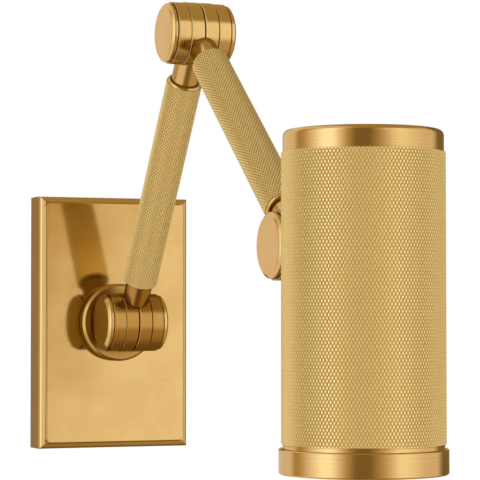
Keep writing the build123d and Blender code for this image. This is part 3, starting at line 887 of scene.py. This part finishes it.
class WALLLIGHT_OT_knuckles(bpy.types.Operator):
    """Finish the turned pieces of the knuckles"""

    bl_idname = "walllight.knuckles"
    bl_label = "Knuckles"

    def execute(self, context):
        finish = context.scene.wall_light_finish
        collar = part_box("elbow_right_collar")
        seams = (collar[0].x, collar[1].x)
        brass = turned_brass("turned_satin_brass", finish, "X", 0.18, -0.05, seams)
        # painted shade: the knuckle pieces at the wall get a heavy share of aged brass, for the light that
        # the plate and arms keep from them
        tone_and_shade = turned_brass("shaded_satin_brass", finish, "X", 0.22, 0.62, seams)
        dress(tone_and_shade, "rosette_knuckle", "lower_arm_base_knuckle")
        dress(brass, "lower_arm_elbow_knuckle", "upper_arm_elbow_knuckle")
        dress(brass, "upper_arm_head_knuckle", "shade_knuckle")
        base_cap = turned_brass("toned_cap_brass", finish, "X", 0.22, -0.1)
        for joint, pivot in zip(KNUCKLES, (BASE_PIVOT, ELBOW_PIVOT, HEAD_PIVOT)):
            for hand in HANDS:
                dress(tone_and_shade if joint == "base" else brass, f"{joint}_{hand}_collar")
                cap = f"{joint}_{hand}_cap"
                softened(cap, base_cap if joint == "base" else brass, (cap_lip(cap, pivot), LIP_ROUND))
        return {"FINISHED"}


class WALLLIGHT_OT_sleeves(bpy.types.Operator):
    """Knurl the arms and the shade"""

    bl_idname = "walllight.sleeves"
    bl_label = "Knurled sleeves"

    def execute(self, context):
        knurl = context.scene.wall_light_knurl
        finish = context.scene.wall_light_finish
        plain = turned_brass("turned_sleeve_brass", finish, "Z", 0.24, -0.1)
        knurled = knurled_brass(finish)
        tree = knurl_tree()
        flat = knurl.top_share
        # a recess for the neck, a thread for its stem, and a wider bore between the threads
        arm_inner = [
            (6.1 * MM, 0),
            (6.1 * MM, 1.0 * MM),
            (5.05 * MM, 1.0 * MM),
            (5.05 * MM, 12.0 * MM),
            (6.2 * MM, 12.0 * MM),
        ]
        arm_knurl = (knurl.arm_rim, ARM_END_ROUND, knurl.arm_around, knurl.arm_pitch, knurl.arm_depth, flat)
        for name, start, end in (
            ("lower_arm_sleeve", BASE_PIVOT, ELBOW_PIVOT),
            ("upper_arm_sleeve", ELBOW_PIVOT, HEAD_PIVOT),
        ):
            way = (end - start).normalized()
            knurled_sleeve(name, tree, plain, knurled, start, way, arm_inner, arm_knurl)
        low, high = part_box("shade_sleeve")
        middle = (low + high) / 2
        bore = (high.x - low.x) / 2 - SHADE_WALL
        shade_inner = [(bore, 0)]
        shade_knurl = (
            knurl.shade_rim, SHADE_END_ROUND, knurl.shade_around, knurl.shade_pitch, knurl.shade_depth, flat
        )
        foot = Vector((middle.x, middle.y, low.z))
        knurled_sleeve(
            "shade_sleeve", tree, plain, knurled, foot, Vector((0, 0, 1)), shade_inner, shade_knurl
        )
        return {"FINISHED"}


class WALLLIGHT_OT_shade_trim(bpy.types.Operator):
    """Finish the shade's cap, bezel and saddle"""

    bl_idname = "walllight.shade_trim"
    bl_label = "Shade trim"

    def execute(self, context):
        finish = context.scene.wall_light_finish
        dress(turned_brass("turned_trim_brass", finish, "Z", 0.15, 0.0), "shade_cap", "shade_bezel")
        dress(turned_brass("turned_saddle_brass", finish, "Y", 0.24, 0.2), "shade_saddle")
        return {"FINISHED"}


class WALLLIGHT_OT_fasteners(bpy.types.Operator):
    """Finish the strap, bolts, nuts and washers"""

    bl_idname = "walllight.fasteners"
    bl_label = "Fasteners"

    def execute(self, context):
        steel = zinc_steel(context.scene.wall_light_finish)
        # nylon is dull and slightly cloudy; the green lacquer that marks the earth screw is thin and uneven
        nylon = plain_finish("moulded_nylon", "#82632F", "#725629", 0.5, 1.5)
        green = plain_finish("green_lacquered_steel", "#37874A", "#276D33", 0.38, 1.0)
        dress(steel, "mounting_strap", "plate_grub_screws", "swivel_nut", "swivel_spring_washer")
        dress(steel, "shade_stem_nut", "holder_stem", "holder_lock_nut")
        dress(nylon, "swivel_washer", "shade_pad")
        dress(green, "earth_screw")
        for joint in KNUCKLES:
            dress(steel, f"{joint}_bolt", f"{joint}_nut", f"{joint}_spring_washer")
            dress(nylon, f"{joint}_friction_washer")
        return {"FINISHED"}


class WALLLIGHT_OT_lamp(bpy.types.Operator):
    """Finish the lamp and its holder"""

    bl_idname = "walllight.lamp"
    bl_label = "Lamp"

    def execute(self, context):
        # porcelain is glossy with a warm, slightly uneven glaze; the lamp's shell is satin white
        dress(plain_finish("glazed_porcelain", "#F3EFE7", "#EBE6DC", 0.2, 5.0), "lamp_holder")
        dress(plain_finish("moulded_polycarbonate", "#ECEBE7", "#E6E5E0", 0.36, 2.0), "lamp_body")
        dress(pressed_lens(), "lamp_lens")
        dress(zinc_steel(context.scene.wall_light_finish), "lamp_pins")
        return {"FINISHED"}


# The studio as the metal sees it, in six plain tones. The horizon is given in degrees to the right of
# the camera's side: a softbox stands to the left and a bounce card to the right, the room behind the
# camera is dark, and gaps part them from the pale sweep behind the object. Ceiling and ground are given
# by how far right they lie.
SOFTBOX = "#FFFFFF"
BOUNCE = "#E9E1D4"
SWEEP = "#CDBCAE"
EDGE = "#AC9068"
DIM = "#967F52"
ROOM = "#705C3A"
HORIZON = (
    (-180, SWEEP),
    (-120, SWEEP),
    (-108, DIM),
    (-96, EDGE),
    (-84, SWEEP),
    (-61, SOFTBOX),
    (-48, SOFTBOX),
    (-34, SWEEP),
    (-26, EDGE),
    (-14, ROOM),
    (6, ROOM),
    (22, EDGE),
    (34, SWEEP),
    (46, BOUNCE),
    (56, BOUNCE),
    (88, SWEEP),
    (113, SWEEP),
    (128, ROOM),
    (156, ROOM),
    (180, EDGE),
)
CEILING = ((-1.0, SWEEP), (-0.42, SWEEP), (-0.2, DIM), (1.0, DIM))
GROUND = ((-1.0, SWEEP), (-0.42, SWEEP), (-0.18, ROOM), (0.25, ROOM), (0.5, EDGE), (1.0, EDGE))
MIRRORED_TWICE = "#786A32"
MATT_FAR = "#B4B0A8"
MATT_NEAR = "#F0EDE8"
CEILING_STARTS = (33, 42)
GROUND_STARTS = (-10, -32)


def studio_world(scene, stage):
    """Surroundings: white for the camera, even for matt finishes, a studio of soft lights for the metal."""
    world = bpy.data.worlds.new("studio")
    scene.world = world
    world.use_nodes = True
    tree = world.node_tree
    tree.nodes.clear()
    way = add_node(tree, "ShaderNodeTexCoord").outputs["Generated"]
    towards = atan2(-cos(stage.camera_yaw), -sin(stage.camera_yaw))
    turned = add_node(
        tree, "ShaderNodeVectorRotate", {"Vector": way, "Angle": -towards}, rotation_type="Z_AXIS"
    ).outputs[0]
    axes = add_node(tree, "ShaderNodeSeparateXYZ", {0: turned}).outputs
    bearing = add_node(tree, "ShaderNodeMath", {0: axes["Y"], 1: axes["X"]}, operation="ARCTAN2").outputs[0]
    shown = []
    for value, end, stops in ((bearing, pi, HORIZON), (axes["Y"], 1.0, CEILING), (axes["Y"], 1.0, GROUND)):
        place = add_node(tree, "ShaderNodeMapRange", {"Value": value, "From Min": -end, "From Max": end})
        colours = add_node(tree, "ShaderNodeValToRGB", {"Fac": place.outputs["Result"]})
        elements = colours.color_ramp.elements
        reach = stops[-1][0]
        for n, (position, colour) in enumerate(stops):
            element = elements[n] if n < len(elements) else elements.new(1.0)
            element.position = (position / reach + 1) / 2
            element.color = linear(colour)
        shown.append(colours.outputs["Color"])
    studio = shown[0]
    for (first, last), colour in ((CEILING_STARTS, shown[1]), (GROUND_STARTS, shown[2])):
        share = add_node(
            tree,
            "ShaderNodeMapRange",
            {"Value": axes["Z"], "From Min": sin(radians(first)), "From Max": sin(radians(last))},
            interpolation_type="SMOOTHSTEP",
        ).outputs["Result"]
        studio = add_node(
            tree, "ShaderNodeMix", {"Factor": share, "A": studio, "B": colour}, data_type="RGBA"
        ).outputs["Result"]
    path = add_node(tree, "ShaderNodeLightPath").outputs
    # what is mirrored twice comes from between the pieces and the wall, where little light reaches
    deep = add_node(
        tree, "ShaderNodeMath", {0: path["Ray Depth"], 1: 2.5}, operation="GREATER_THAN"
    ).outputs[0]
    matt = add_node(
        tree, "ShaderNodeMath", {0: path["Diffuse Depth"], 1: 0.5}, operation="GREATER_THAN"
    ).outputs[0]
    again = add_node(
        tree, "ShaderNodeMath", {0: deep, 1: matt}, operation="SUBTRACT", use_clamp=True
    ).outputs[0]
    studio = add_node(
        tree, "ShaderNodeMix", {"Factor": again, "A": studio, "B": linear(MIRRORED_TWICE)}, data_type="RGBA"
    ).outputs["Result"]
    mirrored = add_node(
        tree,
        "ShaderNodeMath",
        {0: path["Is Glossy Ray"], 1: path["Is Transmission Ray"]},
        operation="MAXIMUM",
    ).outputs[0]
    # matt finishes get most of their light from the camera's side and from a pale ground
    facing = add_node(
        tree, "ShaderNodeVectorMath", {0: turned, 1: (0.75, 0.0, -0.66)}, operation="DOT_PRODUCT"
    ).outputs["Value"]
    share = add_node(tree, "ShaderNodeMapRange", {"Value": facing, "From Min": -1.0}).outputs["Result"]
    soft = add_node(
        tree,
        "ShaderNodeMix",
        {"Factor": share, "A": linear(MATT_FAR), "B": linear(MATT_NEAR)},
        data_type="RGBA",
    ).outputs["Result"]
    lit = add_node(
        tree, "ShaderNodeMix", {"Factor": mirrored, "A": soft, "B": studio}, data_type="RGBA"
    ).outputs["Result"]
    level = add_node(
        tree, "ShaderNodeMapRange", {"Value": mirrored, "To Min": 1.0, "To Max": stage.studio_level}
    ).outputs["Result"]
    seen = add_node(
        tree,
        "ShaderNodeMix",
        {"Factor": path["Is Camera Ray"], "A": lit, "B": (1.0, 1.0, 1.0, 1.0)},
        data_type="RGBA",
    ).outputs["Result"]
    background = add_node(tree, "ShaderNodeBackground", {"Color": seen, "Strength": level})
    add_node(tree, "ShaderNodeOutputWorld", {"Surface": background.outputs[0]})


class WALLLIGHT_OT_stage(bpy.types.Operator):
    """Make the floor, the lights, the studio and the camera"""

    bl_idname = "walllight.stage"
    bl_label = "Stage"

    def execute(self, context):
        scene = context.scene
        stage = scene.wall_light_stage
        scene.view_settings.view_transform = "Standard"
        studio_world(scene, stage)

        floor = lathe("floor", [(0.001, 0), (0.9, 0)], 96)
        floor.data.transform(Matrix.Translation((0, (CAD_LOW.y + CAD_HIGH.y) / 2, -stage.floor_drop)))
        card = plain_finish("pale_matt_card", "#F0EFEC", "#EEEDEA", 0.8, 40)
        # only the camera sees the card's glow, so it looks pale and throws no more light on the object
        shader = card.node_tree.nodes["Principled BSDF"]
        path = add_node(card.node_tree, "ShaderNodeLightPath").outputs
        glow = add_node(
            card.node_tree,
            "ShaderNodeMath",
            {0: path["Is Camera Ray"], 1: stage.floor_glow},
            operation="MULTIPLY",
        )
        card.node_tree.links.new(glow.outputs[0], shader.inputs["Emission Strength"])
        shader.inputs["Emission Color"].default_value = linear("#FFFFFF")
        floor.data.materials.append(card)
        floor.visible_glossy = False

        # the third light is what the bright plate throws back on the arm that stands before it
        low, high = PLATE_LOW, PLATE_HIGH
        plate = (0.0, low.y - 0.1 * MM, 0.0)
        for name, place, aim, size, power in (
            ("key_light", (0.35, -1.18, -0.15), (0, -0.15, 0.02), (0.4, 0.4), stage.key_power),
            ("fill_light", (-0.96, -0.68, -0.15), (0, -0.15, 0.02), (0.4, 0.4), stage.fill_power),
            (
                "plate_light",
                plate,
                (0, -1, 0),
                (0.9 * (high.x - low.x), 0.9 * (high.z - low.z)),
                stage.plate_power,
            ),
        ):
            lamp = bpy.data.lights.new(name, "AREA")
            lamp.shape = "RECTANGLE"
            lamp.size, lamp.size_y = size
            lamp.energy = power
            holder = bpy.data.objects.new(name, lamp)
            holder.location = place
            holder.rotation_euler = (Vector(aim) - Vector(place)).to_track_quat("-Z", "Y").to_euler()
            holder.visible_glossy = False
            holder.visible_camera = False
            scene.collection.objects.link(holder)

        view = bpy.data.cameras.new("camera")
        view.lens = stage.lens
        view.sensor_width = 36
        camera = bpy.data.objects.new("camera", view)
        camera.location = stage.camera_place
        camera.rotation_euler = (pi / 2 + stage.camera_pitch, 0, -stage.camera_yaw)
        scene.collection.objects.link(camera)
        scene.camera = camera
        return {"FINISHED"}


class WALLLIGHT_PT_build(bpy.types.Panel):
    """Steps that dress the wall light"""

    bl_idname = "WALLLIGHT_PT_build"
    bl_label = "Wall light"
    bl_space_type = "VIEW_3D"
    bl_region_type = "UI"
    bl_category = "Wall light"

    def draw(self, context):
        for operator in OPERATORS:
            self.layout.operator(operator.bl_idname)


OPERATORS = (
    WALLLIGHT_OT_wall_plate,
    WALLLIGHT_OT_knuckles,
    WALLLIGHT_OT_sleeves,
    WALLLIGHT_OT_shade_trim,
    WALLLIGHT_OT_fasteners,
    WALLLIGHT_OT_lamp,
    WALLLIGHT_OT_stage,
)
GROUPS = (WallLightKnurl, WallLightFinish, WallLightStage)


def register():
    for group in (*GROUPS, *OPERATORS, WALLLIGHT_PT_build):
        bpy.utils.register_class(group)
    bpy.types.Scene.wall_light_knurl = PointerProperty(type=WallLightKnurl)
    bpy.types.Scene.wall_light_finish = PointerProperty(type=WallLightFinish)
    bpy.types.Scene.wall_light_stage = PointerProperty(type=WallLightStage)


def unregister():
    del bpy.types.Scene.wall_light_stage
    del bpy.types.Scene.wall_light_finish
    del bpy.types.Scene.wall_light_knurl
    for group in (WALLLIGHT_PT_build, *reversed(OPERATORS), *reversed(GROUPS)):
        bpy.utils.unregister_class(group)


def main():
    register()
    bpy.ops.walllight.wall_plate()
    bpy.ops.walllight.knuckles()
    bpy.ops.walllight.sleeves()
    bpy.ops.walllight.shade_trim()
    bpy.ops.walllight.fasteners()
    bpy.ops.walllight.lamp()
    bpy.ops.walllight.stage()


if __name__ == "__main__":
    main()
